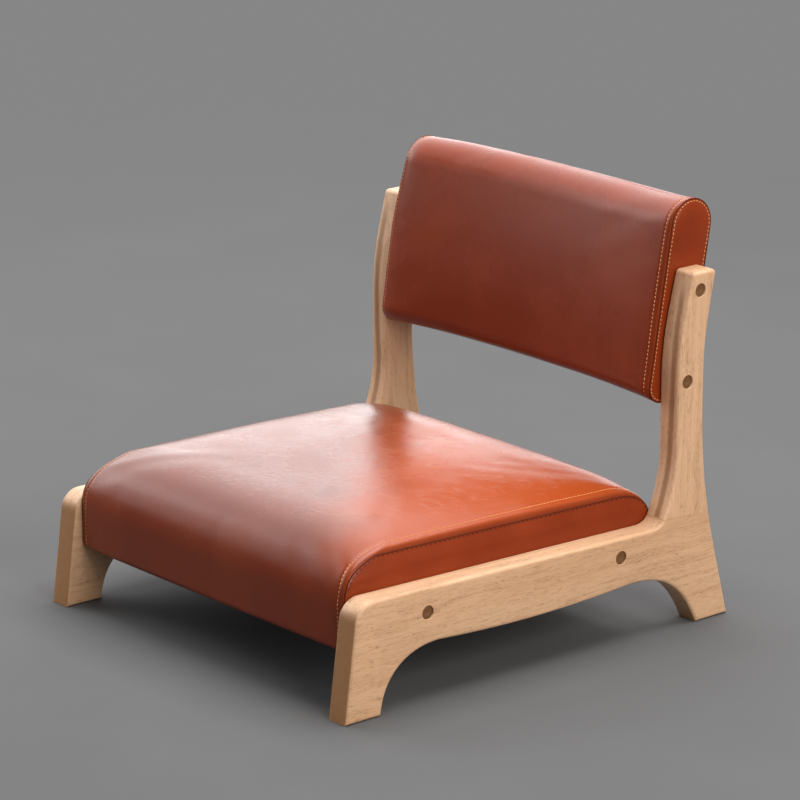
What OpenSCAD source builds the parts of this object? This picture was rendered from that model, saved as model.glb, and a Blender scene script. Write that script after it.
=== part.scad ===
// Legless chair: two wooden side frames carry an upholstered seat and a curved, upholstered backrest.
// The origin is on the floor at the middle of the chair; the sitter faces -Y and sits with the left side at +X.

/* [Side frames] */
// Overall width across the two side frames
chair_w = 480; // [430:1:560]
// Depth on the floor, from the front feet's tips to the rear feet's tips
chair_d = 511; // [480:1:560]
// Thickness of the side boards
board_t = 27.5; // [24:0.5:34]
// Rounding along the boards' edges
edge_r = 3.5; // [1:0.5:5]
// Height of the rail's top edge at the front
rail_front_h = 119; // [115:1:126]
// Height of the rail's top edge at the rear, before it turns up into the post
rail_rear_h = 111.5; // [108:0.5:116]
// Radius of the rail's front nose
nose_r = 14; // [6:1:22]
// Length of the front foot's sole
front_sole = 45; // [36:1:56]
// Length of the rear foot's sole
rear_sole = 44.5; // [36:0.5:56]
// Backward lean of the front feet, in degrees
front_rake = 7.5; // [2:0.5:11]
// Forward lean of the rear feet's outer edge, in degrees
rear_rake = 14.7; // [13:0.1:17]
// Height of the arch between the feet
arch_h = 60.5; // [52:0.5:66]
// How far the rail's underside dips at mid span
belly_dip = 5; // [0:0.5:8]
// Length of the arch's sweep from the front foot to the rail's underside
front_sweep = 74; // [50:1:90]
// Length of the arch's sweep from the rail's underside to the rear foot
rear_sweep = 93; // [60:1:110]

/* [Back posts] */
// Height of the posts' top above the upper bolts
post_over_bolt = 19.2; // [12:0.2:40]
// Depth of a post at its middle, seen from the side
post_depth = 36; // [32:0.5:42]
// Distance from the rear feet's tips forward to the posts' rear edge
post_in = 40.5; // [36:0.5:46]
// Rise of the rail's rear end into the post, up to the front end of their joint
crook_rise = 8.5; // [5:0.5:14]
// Length of the hollow curve at the foot of that rise
crook_l = 13; // [8:1:20]
// Fall of the joint line from its front end to its rear end
joint_fall = 3.5; // [0:0.5:6]
// Height at which the flare at the post's front edge ends
flare_h = 192; // [180:1:210]
// Radius of the flare at the post's front edge
flare_r = 164; // [140:1:220]
// Radius of the flare at the rear edge
rear_flare_r = 580; // [450:10:640]
// Height at which the posts bend back
bend_h = 296; // [285:1:305]
// Radius of that bend
bend_r = 300; // [150:10:350]
// How much more the posts' rear edge leans than the backrest, in degrees
post_lean_more = 1.5; // [0:0.5:3]
// How much the two edges close towards each other above the bend, in degrees
post_taper = 3; // [0:0.5:4.5]
// Radius of the corners at the posts' top
post_top_r = 5; // [5:0.5:10]

/* [Seat] */
// Distance from the front feet's tips back to the seat's front
seat_in = 21; // [16:1:30]
// Distance from the seat's rear edge to the posts' front edge
seat_rear_gap = 10.5; // [6:0.5:20]
// Height of the seat's underside
seat_base_h = 61; // [56:1:64]
// Height of the seat's side seam at the front
seat_seam_h = 153.5; // [148:0.5:165]
// Fall of the side seam towards the rear
seat_fall = 7; // [0:0.5:12]
// Crown of the seat above its side seams
seat_crown = 15; // [4:0.5:20]
// How much higher the crown is at the rear
seat_rise = 4; // [0:0.5:8]
// Extra crown along the middle of the seat's depth
seat_dome = 3; // [0:0.5:6]
// Bulge of the seat's front beyond its side seams
seat_bulge = 4; // [1:0.5:8]
// How far the seat's rear draws in between its side seams
seat_rear_in = 4; // [0:0.5:6]
// Radius of the seat's lower edges
seat_corner_r = 8; // [4:0.5:12]
// Height of the roll over the seat's front edge
front_roll_h = 38; // [28:1:44]
// Depth of the roll over the seat's front edge
front_roll_l = 42; // [28:1:60]
// How much deeper that roll is at mid width than at the side seams; it grows half as much in height
front_swell = 45; // [0:1:60]
// Height of the roll over the seat's rear edge
rear_roll_h = 29; // [20:1:34]
// Depth of the roll over the seat's rear edge
rear_roll_l = 62; // [40:1:90]
// How much deeper that roll is at mid width than at the side seams; it grows half as much in height
rear_swell = 22; // [0:1:40]

/* [Backrest] */
// Height of the backrest's lower edge
back_low_h = 236; // [230:1:242]
// Length of the backrest along its lean
back_len = 211; // [200:1:224]
// Thickness of the backrest
back_t = 55; // [48:0.5:62]
// Lean of the backrest, in degrees
back_tilt = 9.5; // [7:0.5:12]
// How far the backrest's front stands before the posts' front edge, at its lower edge
back_proud = 17; // [14:0.5:22]
// How deeply the backrest curves round the sitter
back_sag = 20; // [12:1:30]
// Swell of the backrest's faces beyond their side seams
back_puff = 8; // [3:0.5:10]
// How far the backrest's lower edge draws in between its side seams
low_waist = 4; // [0:0.5:8]
// How far the backrest's top draws in between its side seams
top_waist = 3; // [0:0.5:6]
// Extra swell of the front face at half its height
back_bow = 3; // [0:0.5:6]
// Radius of the backrest's lower edges
back_corner_r = 17; // [8:1:22]

/* [Covers] */
// Thickness of the leather covers with their backing
cover_t = 2; // [1.2:0.1:2.5]
// Width of the seat cover that is folded under the frame
lip_l = 28; // [20:1:40]
// Thickness of the dust cover under the seat
dust_t = 1; // [0.6:0.1:2]
// Distance from the dust cover's edge to the seat's edge
dust_in = 14; // [11:1:18]

/* [Seat frame] */
// Width of the frame's battens
batten_w = 30; // [28:1:40]
// Height of the frame's battens
batten_h = 45; // [40:1:48]
// Thickness of the plywood deck
deck_t = 9; // [6:0.5:12]
// Foam before the front batten
front_pad = 10; // [9:0.5:14]
// Foam behind the rear batten
rear_pad = 9; // [9:0.5:14]

/* [Backrest frame] */
// Thickness of the bent plywood panel
panel_t = 12; // [9:0.5:14]
// Distance from the backrest's lower and upper edges to the panel
panel_in = 18; // [16:1:20]
// Width of the blocks that take the bolts
block_w = 28; // [26:1:36]
// Thickness of the blocks that take the bolts
block_t = 26; // [20:0.5:28]
// Depth of the groove in the blocks that holds the panel
groove_l = 8; // [5:0.5:10]

/* [Fasteners] */
// Diameter of the bolts' shanks
bolt_d = 6; // [5:0.5:7]
// Length of the bolts under their heads
bolt_l = 43; // [40:1:45]
// Diameter of the bolts' heads
head_d = 13.4; // [11:0.1:15]
// Thickness of the bolts' heads
head_h = 4.5; // [3:0.1:6]
// Depth of the heads below the boards' outer faces
head_sink = 1.5; // [0.5:0.1:4]
// Width across the flats of the key's socket
key_w = 4; // [3:0.5:5]
// Distance from the seat's front to the front bolts
front_bolt_in = 82.5; // [60:0.5:110]
// Distance from the seat's rear to the rear bolts
rear_bolt_in = 65; // [50:0.5:90]
// Height of the seat's bolts
seat_bolt_h = 92; // [84:0.5:96]
// Distance from the backrest's front to its bolts
back_bolt_q = 25.4; // [24:0.1:30]
// Distance from the backrest's lower edge up to its lower bolts
low_bolt_up = 27.7; // [26.5:0.1:36]
// Distance between the lower and the upper bolts
back_bolt_pitch = 94; // [80:0.5:98]
// Outer diameter of the threaded inserts
insert_d = 10; // [9:0.5:12]
// Length of the threaded inserts
insert_l = 15; // [10:0.5:18]
// Diameter of the dowels between rail and post
dowel_d = 10; // [8:0.5:12]
// Length of the dowels
dowel_l = 56; // [40:1:64]
// Distance between the two dowels of a joint
dowel_pitch = 27; // [22:0.5:30]

/* [Clearances] */
// Gap between a cushion piece and its neighbours
soft_gap = 0.3; // [0.2:0.05:0.6]
// Gap round a glued or pressed piece
glue_gap = 0.1; // [0.05:0.05:0.3]
// Gap round a bolt's shank
bolt_gap = 0.4; // [0.2:0.1:0.8]
// Gap round a bolt's head
head_gap = 0.3; // [0.2:0.1:0.6]
// Spare depth at the end of a blind hole
hole_spare = 2; // [1:0.5:3]

/* [Hidden] */

round_steps = 3;
curve_steps = 8;
bore_fn = 32;
cut = 1;

oak = [0.80, 0.64, 0.48];
oak_light = [0.84, 0.69, 0.53];
plywood = [0.76, 0.62, 0.42];
beech = [0.72, 0.56, 0.40];
leather = [0.50, 0.20, 0.11];
leather_side = [0.58, 0.24, 0.12];
foam = [0.93, 0.90, 0.80];
dust_cloth = [0.12, 0.12, 0.13];
bronze = [0.30, 0.21, 0.13];
brass = [0.75, 0.62, 0.35];

inner_half = chair_w / 2 - board_t;
side_half = inner_half - soft_gap;
cover_half = side_half - cover_t - soft_gap;
frame_half = cover_half;

post_rear_y = chair_d - post_in;
post_front_y = post_rear_y - post_depth;
joint_front_h = rail_rear_h + crook_rise;
joint_rear_h = joint_front_h - joint_fall;
rear_bend_lean = back_tilt + post_lean_more;
front_bend_lean = rear_bend_lean + post_taper;

seat_front_y = seat_in;
seat_rear_y = post_front_y - seat_rear_gap;
batten_z = seat_base_h + cover_t;
deck_z = batten_z + batten_h;
frame_front_y = seat_front_y + front_pad;
frame_rear_y = seat_rear_y - rear_pad;
seat_bolt_ys = [seat_front_y + front_bolt_in, seat_rear_y - rear_bolt_in];

back_y = post_front_y - back_proud;
back_bolt_hs = [low_bolt_up, low_bolt_up + back_bolt_pitch];
post_h = leaned_yz(back_bolt_q, back_bolt_hs[1])[1] + post_over_bolt;
panel_low = panel_in;
panel_high = back_len - panel_in;
arc_r = (pow(side_half, 2) + pow(back_sag, 2)) / (2 * back_sag);
foam_skin = cover_t + soft_gap;

head_seat = head_sink + head_h;
bolt_reach = bolt_l - (board_t - head_seat);

// Places across a cushion, as shares of its half width, close together where the skin rolls into the seam
half_stations = [1, 0.985, 0.95, 0.88, 0.7, 0.4];
stations = [for (i = [-6:6]) i < 0 ? -half_stations[i + 6] : i > 0 ? half_stations[6 - i] : 0];

// Plane geometry

function unit(v) = v / norm(v);
function left_of(v) = [-v[1], v[0]];
function reversed(path) = [for (i = [len(path) - 1:-1:0]) path[i]];

// Points of a cubic curve with two handles
function curve(a, b, c, d, steps = curve_steps) = [for (i = [0:steps])
    let (t = i / steps, s = 1 - t)
    a * pow(s, 3) + b * 3 * s * s * t + c * 3 * s * t * t + d * pow(t, 3)];

// Points of the arc that rounds the corner b between a and c
function fillet(a, b, c, r, steps = 4) =
    let (u = unit(a - b), v = unit(c - b), half = acos(u * v) / 2)
    let (start = b + u * r / tan(half), end = b + v * r / tan(half), centre = b + unit(u + v) * r / sin(half))
    [for (i = [0:steps]) centre + r * unit(start * (1 - i / steps) + end * i / steps - centre)];

// Drops points that repeat the one before them
function without_repeats(path) = [for (i = [0:len(path) - 1])
    if (i == 0 || norm(path[i] - path[i - 1]) > 0.05) path[i]];

// An anticlockwise outline drawn in by d on every edge but its first, where the board is glued to the next one
function drawn_in(path, d) = [for (i = [0:len(path) - 1])
    let (n = len(path), before = (i + n - 1) % n, after = (i + 1) % n)
    let (a = left_of(unit(path[i] - path[before])), b = left_of(unit(path[after] - path[i])))
    let (da = before == 0 ? 0 : d, db = i == 0 ? 0 : d, turn = a[0] * b[1] - a[1] * b[0])
    path[i] + (abs(turn) < 0.001 ? a * da : [da * b[1] - db * a[1], db * a[0] - da * b[0]] / turn)];

function cross2(u, v) = u[0] * v[1] - u[1] * v[0];

function in_triangle(a, b, c, p) = cross2(b - a, p - a) >= 0 && cross2(c - b, p - b) >= 0
    && cross2(a - c, p - c) >= 0;

// Whether the corner at place i of the list can be cut off as a triangle that holds no other point
function is_ear(path, list, i) =
    let (n = len(list), before = list[(i + n - 1) % n], after = list[(i + 1) % n])
    let (a = path[before], b = path[list[i]], c = path[after])
    cross2(b - a, c - b) > 0.0001
    && len([for (k = list) if (k != before && k != list[i] && k != after && in_triangle(a, b, c, path[k])) k]) == 0;

function first_ear(path, list, i = 0) = i == len(list) - 1 || is_ear(path, list, i) ? i
    : first_ear(path, list, i + 1);

// Triangles that fill an anticlockwise outline, made by cutting off one corner after another
function triangles(path, list) =
    let (n = len(list), i = first_ear(path, list))
    concat([[list[(i + n - 1) % n], list[i], list[(i + 1) % n]]],
        n > 3 ? triangles(path, [for (k = [0:n - 1]) if (k != i) list[k]]) : []);

function flat(ring) = [for (p = ring) [p[1], p[2]]];

// A solid through rings of equally many points, each anticlockwise as seen from +X
// A skin's ring runs out along one face and back along the other, so its ends are strips between the two
module loft(rings, is_skin = false) {
    n = len(rings[0]);
    last = len(rings) - 1;
    walls = [for (k = [0:last - 1], i = [0:n - 1])
        let (j = (i + 1) % n)
        each [[k * n + i, (k + 1) * n + j, k * n + j], [k * n + i, (k + 1) * n + i, (k + 1) * n + j]]];
    strip = [for (i = [0:n / 2 - 2]) each [[i, i + 1, n - 2 - i], [i, n - 2 - i, n - 1 - i]]];
    end = is_skin ? strip : triangles(flat(rings[0]), [for (i = [0:n - 1]) i]);
    opposite = is_skin ? strip : triangles(flat(rings[last]), [for (i = [0:n - 1]) i]);
    far_end = [for (face = opposite) reversed([for (i = face) last * n + i])];
    polyhedron([for (ring = rings) each ring], concat(end, far_end, walls), convexity = 8);
}

function ring_at(x, path) = [for (p = path) [x, p[0], p[1]]];

// A cylinder along X from x_from to x_to
module rod_x(r, x_from, x_to) {
    translate([x_from, 0, 0])
        rotate([0, 90, 0])
            cylinder(r = r, h = x_to - x_from, $fn = bore_fn);
}

// Side frames, drawn in a plane with y measured from the front feet's tips

// Rear edge of the frame: a raked foot that flares into the upright post
function rear_edge_y(z) =
    let (flare_end = post_in / tan(rear_rake) + rear_flare_r * tan(rear_rake / 2))
    let (flare_start = flare_end - rear_flare_r * sin(rear_rake))
    z > flare_end ? post_rear_y
        : z < flare_start ? chair_d - z * tan(rear_rake)
        : post_rear_y + rear_flare_r - sqrt(pow(rear_flare_r, 2) - pow(flare_end - z, 2));

// Front edge of the post below the bend
function front_edge_y(z) = z > flare_h ? post_front_y
    : post_front_y - flare_r + sqrt(pow(flare_r, 2) - pow(flare_h - z, 2));

joint_front = [front_edge_y(joint_front_h), joint_front_h];
joint_rear = [rear_edge_y(joint_rear_h), joint_rear_h];
flare_slant = asin((flare_h - joint_front_h) / flare_r);
crook = [joint_front[0] - crook_rise * tan(flare_slant), rail_rear_h];
rail_nose = [rail_front_h * tan(front_rake), rail_front_h];
crook_end = crook + unit(rail_nose - crook) * crook_l;

// Underside of the rail between the two sweeps, dipping at mid span
function belly(steps = 6) = [for (i = [1:steps - 1])
    let (s = i / steps, from = front_sole + front_sweep, to = chair_d - rear_sole - rear_sweep)
    [from + (to - from) * s, arch_h - belly_dip * 4 * s * (1 - s)]];

front_arch = curve([front_sole, 0], [front_sole + 0.04 * front_sweep, 0.6 * arch_h],
    [front_sole + 0.4 * front_sweep, arch_h], [front_sole + front_sweep, arch_h]);
rear_foot_y = chair_d - rear_sole;
rear_arch = curve([rear_foot_y - rear_sweep, arch_h], [rear_foot_y - 0.46 * rear_sweep, arch_h],
    [rear_foot_y - 0.21 * rear_sweep, 0.69 * arch_h], [rear_foot_y, 0]);

// Outline of the rail with both feet, from the joint forwards and round underneath
rail_outline = without_repeats(concat(
    [joint_rear, joint_front],
    curve(joint_front, joint_front * 0.4 + crook * 0.6, crook_end * 0.4 + crook * 0.6, crook_end, 5),
    fillet(crook, rail_nose, [0, 0], nose_r, 5),
    [[0, 0]],
    front_arch, belly(), rear_arch,
    [[chair_d, 0]],
    [for (i = [1:5]) let (z = joint_rear_h * i / 6) [rear_edge_y(z), z]]));

post_top_front = [post_front_y + (post_h - bend_h) * tan(front_bend_lean), post_h];
post_top_rear = [post_rear_y + (post_h - bend_h) * tan(rear_bend_lean), post_h];
front_bend = [post_front_y, bend_h];
rear_bend = [post_rear_y, bend_h];
upright_steps = 7;

// Outline of the post, from the joint up its rear edge and down its front edge
post_outline = without_repeats(concat(
    [joint_front, joint_rear],
    [for (i = [1:upright_steps])
        let (z = joint_rear_h + (flare_h + 40 - joint_rear_h) * i / upright_steps) [rear_edge_y(z), z]],
    fillet([post_rear_y, 0], rear_bend, post_top_rear, bend_r),
    fillet(rear_bend, post_top_rear, post_top_front, post_top_r),
    fillet(post_top_rear, post_top_front, front_bend, post_top_r),
    fillet(post_top_front, front_bend, [post_front_y, 0], bend_r),
    [for (i = [0:upright_steps - 1])
        let (z = flare_h + (joint_front_h - flare_h) * i / upright_steps) [front_edge_y(z), z]]));

// A board of the frame's thickness with all its free edges rounded
module board(outline) {
    loft([for (side = [-1, 1], k = [0:round_steps])
        let (a = 90 * (side < 0 ? k : round_steps - k) / round_steps)
        let (x = side * (board_t / 2 - edge_r * (1 - cos(a))), d = edge_r * (1 - sin(a)))
        ring_at(x, drawn_in(outline, d))]);
}

// Clears a bolt and its head, whose board has its outer face at +X
module bolt_way(at) {
    translate([0, at[0], at[1]]) {
        rod_x(bolt_d / 2 + bolt_gap, -board_t, board_t);
        rod_x(head_d / 2 + head_gap, board_t / 2 - head_seat, board_t);
    }
}

function joint_z(y) = joint_front_h + (joint_rear_h - joint_front_h) * (y - joint_front[0])
    / (joint_rear[0] - joint_front[0]);
joint_mid_y = (joint_front[0] + joint_rear[0]) / 2;
dowel_ys = [joint_mid_y - dowel_pitch / 2, joint_mid_y + dowel_pitch / 2];

// The two dowels of a joint, or the room for them
module dowel_pair(gap = 0, spare = 0) {
    for (y = dowel_ys)
        translate([0, y, joint_z(y) - dowel_l / 2 - spare])
            cylinder(r = dowel_d / 2 + gap, h = dowel_l + 2 * spare, $fn = bore_fn);
}

module side_rail() {
    difference() {
        board(rail_outline);
        for (y = seat_bolt_ys)
            bolt_way([y, seat_bolt_h]);
        dowel_pair(glue_gap, hole_spare);
    }
}

// Where a point of the leaning backrest lies in the frame's plane
function leaned_yz(q, h) = [back_y + q * cos(back_tilt) + h * sin(back_tilt),
    back_low_h + h * cos(back_tilt) - q * sin(back_tilt)];

module back_post() {
    difference() {
        board(post_outline);
        for (h = back_bolt_hs)
            bolt_way(leaned_yz(back_bolt_q, h));
        dowel_pair(glue_gap, hole_spare);
    }
}

// The curved top of the backrest may reach back past the rear feet, and the origin is at the middle of it all
back_reach = back_y + (back_mid(0) + back_sag) * cos(back_tilt)
    + (back_high(0, 0) - back_top_r(0, 0)) * sin(back_tilt) + back_top_r(0, 0);

module on_floor() {
    translate([0, -max(chair_d, back_reach) / 2, 0]) children();
}

module at_left() {
    on_floor() translate([chair_w / 2 - board_t / 2, 0, 0]) children();
}

module at_right() {
    mirror([1, 0, 0]) at_left() children();
}

module left_side_rail() { color(oak) at_left() side_rail(); }
module right_side_rail() { color(oak) at_right() side_rail(); }
module left_back_post() { color(oak_light) at_left() back_post(); }
module right_back_post() { color(oak_light) at_right() back_post(); }
module left_post_dowels() { color(beech) at_left() dowel_pair(); }
module right_post_dowels() { color(beech) at_right() dowel_pair(); }

// Seat

// How far a stuffed skin has risen at a share u of the cushion's half width, from its seam to its middle
function puff(u) = sqrt(1 - pow(abs(u), 4));

// Section of the seat at u, from its rear lower corner over the top to its front lower corner
function seat_section(u, skin) =
    let (swell = puff(u), rear = seat_rear_y - seat_rear_in * swell - skin)
    let (front = seat_front_y - seat_bulge * swell + skin, base = seat_base_h + skin)
    let (top_front = seat_seam_h + seat_crown * swell - skin)
    let (top_rear = top_front - seat_fall + seat_rise * swell)
    let (front_l = front_roll_l + front_swell * swell, front_h = front_roll_h + front_swell * swell / 2)
    let (rear_l = rear_roll_l + rear_swell * swell, rear_h = rear_roll_h + rear_swell * swell / 2)
    let (from = [rear - rear_l, top_rear], to = [front + front_l, top_front])
    concat(
        fillet([front, base], [rear, base], [rear, top_rear], seat_corner_r - skin),
        curve([rear, top_rear - rear_h], [rear, top_rear - 0.3 * rear_h],
            [rear - 0.4 * rear_l, top_rear], from, 6),
        [for (i = [1:4]) from + (to - from) * i / 5 + [0, seat_dome * swell * sin(180 * i / 5)]],
        curve(to, [front + 0.34 * front_l, top_front], [front + 0.05 * front_l, top_front - 0.3 * front_h],
            [front, top_front - front_h], 6),
        fillet([front, top_front], [front, base], [rear, base], seat_corner_r - skin));

// The same section with the width that is folded under the frame
function seat_skin_path(u, skin) =
    let (section = seat_section(u, skin), base = seat_base_h + skin)
    let (rear = section[0][0] - lip_l, front = section[len(section) - 1][0] + lip_l)
    concat([[rear, base]], section, [[front, base]]);

module seat_cover_sheet() {
    on_floor()
        loft([for (u = stations)
            ring_at(u * cover_half, concat(seat_skin_path(u, 0), reversed(seat_skin_path(u, cover_t))))],
            is_skin = true);
}

// Foam on the deck, with a lip before the front batten and behind the rear one
module seat_foam_block() {
    on_floor()
        difference() {
            loft([for (u = stations) ring_at(u * (cover_half - foam_skin), seat_section(u, foam_skin))]);
            translate([-chair_w / 2, frame_front_y - soft_gap, seat_base_h])
                cube([chair_w, frame_rear_y - frame_front_y + 2 * soft_gap,
                    deck_z + deck_t + soft_gap - seat_base_h]);
        }
}

// Side panel of a cushion: a flat skin whose outer edge is rounded over
module gusset(path, thin_path) {
    x_from = side_half - cover_t;
    loft([ring_at(x_from, path), ring_at(x_from + cover_t / 2, path), ring_at(side_half, thin_path)]);
}

module seat_gusset() {
    on_floor()
        difference() {
            gusset(seat_section(1, 0), seat_section(1, cover_t / 2));
            for (y = seat_bolt_ys)
                translate([0, y, seat_bolt_h])
                    rod_x(bolt_d / 2 + bolt_gap, side_half - cover_t - cut, side_half + cut);
        }
}

// The blind hole for an insert and the bolt's end, open at x_face
module insert_hole(x_face) {
    rod_x(insert_d / 2 + glue_gap, x_face - insert_l, x_face + cut);
    rod_x(bolt_d / 2 + bolt_gap, inner_half - bolt_reach - hole_spare, x_face + cut);
}

module seat_side_batten() {
    on_floor()
        difference() {
            translate([frame_half - batten_w, frame_front_y, batten_z])
                cube([batten_w, frame_rear_y - frame_front_y, batten_h]);
            for (y = seat_bolt_ys)
                translate([0, y, seat_bolt_h])
                    insert_hole(frame_half);
        }
}

// A batten across the seat, between the side battens
module cross_batten(y_from) {
    on_floor()
        translate([batten_w - frame_half, y_from, batten_z])
            cube([2 * (frame_half - batten_w), batten_w, batten_h]);
}

module seat_batten_left() { color(beech) seat_side_batten(); }
module seat_batten_right() { color(beech) mirror([1, 0, 0]) seat_side_batten(); }
module seat_batten_front() { color(beech) cross_batten(frame_front_y); }
module seat_batten_rear() { color(beech) cross_batten(frame_rear_y - batten_w); }

module seat_deck() {
    color(plywood)
        on_floor()
            translate([-frame_half, frame_front_y, deck_z])
                cube([2 * frame_half, frame_rear_y - frame_front_y, deck_t]);
}

module seat_foam() { color(foam) seat_foam_block(); }
module seat_cover() { color(leather) seat_cover_sheet(); }
module seat_gusset_left() { color(leather_side) seat_gusset(); }
module seat_gusset_right() { color(leather_side) mirror([1, 0, 0]) seat_gusset(); }

module seat_dust_cover() {
    color(dust_cloth)
        on_floor()
            translate([dust_in - side_half, seat_front_y + dust_in, seat_base_h - dust_t])
                cube([2 * (side_half - dust_in), seat_rear_y - seat_front_y - 2 * dust_in, dust_t]);
}

// Backrest, drawn upright with q from its front face rearwards and h along its lean

module leaned() {
    on_floor()
        translate([0, back_y, back_low_h])
            rotate([-back_tilt, 0, 0])
                children();
}

// How far the backrest's curve lies behind its ends at x
function hollow(x) = back_sag - arc_r + sqrt(pow(arc_r, 2) - pow(x, 2));

// The backrest's faces and edges at u: front and rear in q, low and high in h
function back_front(u, skin) = skin - back_puff * puff(u);
function back_rear(u, skin) = back_t + back_puff / 2 * puff(u) - skin;
function back_low(u, skin) = skin + low_waist * puff(u);
function back_high(u, skin) = back_len - skin - top_waist * puff(u);
function back_mid(u) = (back_front(u, 0) + back_rear(u, 0)) / 2;
function back_top_r(u, skin) = (back_rear(u, skin) - back_front(u, skin)) / 2;

// Points of the round top from angle a to angle b
function back_top(u, skin, a, b) = [for (i = [0:5])
    let (turn = a + (b - a) * i / 5, r = back_top_r(u, skin))
    [back_mid(u) + r * cos(turn), back_high(u, skin) - r + r * sin(turn)]];

// Rear half of the section at u, from its lower edge up to the middle of the round top
function rear_half(u, skin) =
    let (rear = back_rear(u, skin), low = back_low(u, skin))
    concat(fillet([back_mid(u), low], [rear, low], [rear, back_high(u, skin)], back_corner_r - skin),
        back_top(u, skin, 0, 90));

// Front half, from the middle of the round top down to its lower edge
function front_half(u, skin) =
    let (front = back_front(u, skin), low = back_low(u, skin), r = back_corner_r - skin)
    let (shoulder = back_high(u, skin) - back_top_r(u, skin), bow = back_bow * puff(u))
    concat(back_top(u, skin, 90, 180),
        [for (i = [1:3]) [front - bow * sin(45 * i), shoulder + (low + r - shoulder) * i / 4]],
        fillet([front, back_high(u, skin)], [front, low], [back_mid(u), low], r));

// The whole section, closed by a seam of a given width along the middle of the underside
function back_section(u, skin, seam = 0) =
    let (low = back_low(u, skin), mid = back_mid(u))
    without_repeats(concat([[mid + seam / 2, low]], rear_half(u, skin), front_half(u, skin),
        seam > 0 ? [[mid - seam / 2, low]] : []));

function hollowed(x, path) = [for (p = path) [p[0] + hollow(x), p[1]]];

module back_cover_sheet() {
    leaned()
        loft([for (u = stations)
            let (x = u * cover_half)
            ring_at(x, hollowed(x, concat(back_section(u, 0, soft_gap),
                reversed(back_section(u, cover_t, soft_gap)))))],
            is_skin = true);
}

// The bent panel, or the room for it
module bent_panel(half, gap = 0) {
    turn = asin(half / arc_r) + 2;
    intersection() {
        translate([0, back_t / 2 + back_sag - arc_r, panel_low - gap])
            rotate([0, 0, 90 - turn])
                rotate_extrude(angle = 2 * turn, $fn = 360)
                    translate([arc_r - panel_t / 2 - gap, 0])
                        square([panel_t + 2 * gap, panel_high - panel_low + 2 * gap]);
        translate([-half, -back_t, 0])
            cube([2 * half, 3 * back_t, back_len]);
    }
}

module back_block_body(gap = 0) {
    translate([frame_half - block_w - gap, back_bolt_q - block_t / 2 - gap, panel_low - gap])
        cube([block_w + 2 * gap, block_t + 2 * gap, panel_high - panel_low + 2 * gap]);
}

module back_block() {
    leaned()
        difference() {
            back_block_body();
            translate([0, 0, -cut])
                bent_panel(frame_half - block_w + groove_l + glue_gap, glue_gap);
            translate([0, 0, cut])
                bent_panel(frame_half - block_w + groove_l + glue_gap, glue_gap);
            for (h = back_bolt_hs)
                translate([0, back_bolt_q, h])
                    insert_hole(frame_half);
        }
}

// Half of the padding, hollowed out for the panel and its blocks
// Side is -1 for the sitter's half and 1 for the rear half
module back_foam_half(side) {
    leaned()
        difference() {
            loft([for (u = stations)
                let (x = u * (cover_half - foam_skin), parting = back_mid(u) + side * soft_gap / 2)
                let (low = [parting, back_low(u, foam_skin)], high = [parting, back_high(u, foam_skin)])
                let (half = side < 0 ? front_half(u, foam_skin) : rear_half(u, foam_skin))
                ring_at(x, hollowed(x, side < 0 ? concat([high], [for (i = [1:len(half) - 1]) half[i]], [low])
                    : concat([low], [for (i = [0:len(half) - 2]) half[i]], [high])))]);
            bent_panel(frame_half, soft_gap);
            back_block_body(soft_gap);
            mirror([1, 0, 0]) back_block_body(soft_gap);
        }
}

module back_gusset() {
    path = back_section(1, 0);
    thin_path = back_section(1, cover_t / 2);
    leaned()
        difference() {
            gusset(path, thin_path);
            for (h = back_bolt_hs)
                translate([0, back_bolt_q, h])
                    rod_x(bolt_d / 2 + bolt_gap, side_half - cover_t - cut, side_half + cut);
        }
}

module back_panel() { color(plywood) leaned() bent_panel(frame_half - block_w + groove_l); }
module back_block_left() { color(beech) back_block(); }
module back_block_right() { color(beech) mirror([1, 0, 0]) back_block(); }
module back_foam_front() { color(foam) back_foam_half(-1); }
module back_foam_rear() { color(foam) back_foam_half(1); }
module back_cover() { color(leather) back_cover_sheet(); }
module back_gusset_left() { color(leather_side) back_gusset(); }
module back_gusset_right() { color(leather_side) mirror([1, 0, 0]) back_gusset(); }

// Fasteners, drawn for the left side with their heads at +X

module bolt() {
    under_head = chair_w / 2 - head_seat;
    difference() {
        union() {
            rod_x(bolt_d / 2, under_head - bolt_l, under_head + cut);
            rod_x(head_d / 2, under_head, under_head + head_h);
        }
        translate([under_head + head_h / 3, 0, 0])
            rotate([0, 90, 0])
                cylinder(d = key_w / cos(30), h = head_h, $fn = 6);
    }
}

module threaded_insert() {
    difference() {
        rod_x(insert_d / 2, frame_half - insert_l, frame_half);
        rod_x(bolt_d / 2 + glue_gap, frame_half - insert_l - cut, frame_half + cut);
    }
}

module at_seat_bolts() {
    on_floor()
        for (side = [0, 1], y = seat_bolt_ys)
            mirror([side, 0, 0]) translate([0, y, seat_bolt_h]) children();
}

module at_back_bolts() {
    leaned()
        for (side = [0, 1], h = back_bolt_hs)
            mirror([side, 0, 0]) translate([0, back_bolt_q, h]) children();
}

module seat_bolts() { color(bronze) at_seat_bolts() bolt(); }
module back_bolts() { color(bronze) at_back_bolts() bolt(); }
module seat_inserts() { color(brass) at_seat_bolts() threaded_insert(); }
module back_inserts() { color(brass) at_back_bolts() threaded_insert(); }

left_side_rail();
right_side_rail();
left_back_post();
right_back_post();
left_post_dowels();
right_post_dowels();
seat_batten_left();
seat_batten_right();
seat_batten_front();
seat_batten_rear();
seat_deck();
seat_foam();
seat_cover();
seat_gusset_left();
seat_gusset_right();
seat_dust_cover();
back_panel();
back_block_left();
back_block_right();
back_foam_front();
back_foam_rear();
back_cover();
back_gusset_left();
back_gusset_right();
seat_bolts();
back_bolts();
seat_inserts();
back_inserts();
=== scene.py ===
"""Low chair with two oak side frames, a leather seat cushion and a curved leather backrest."""

import math

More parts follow.
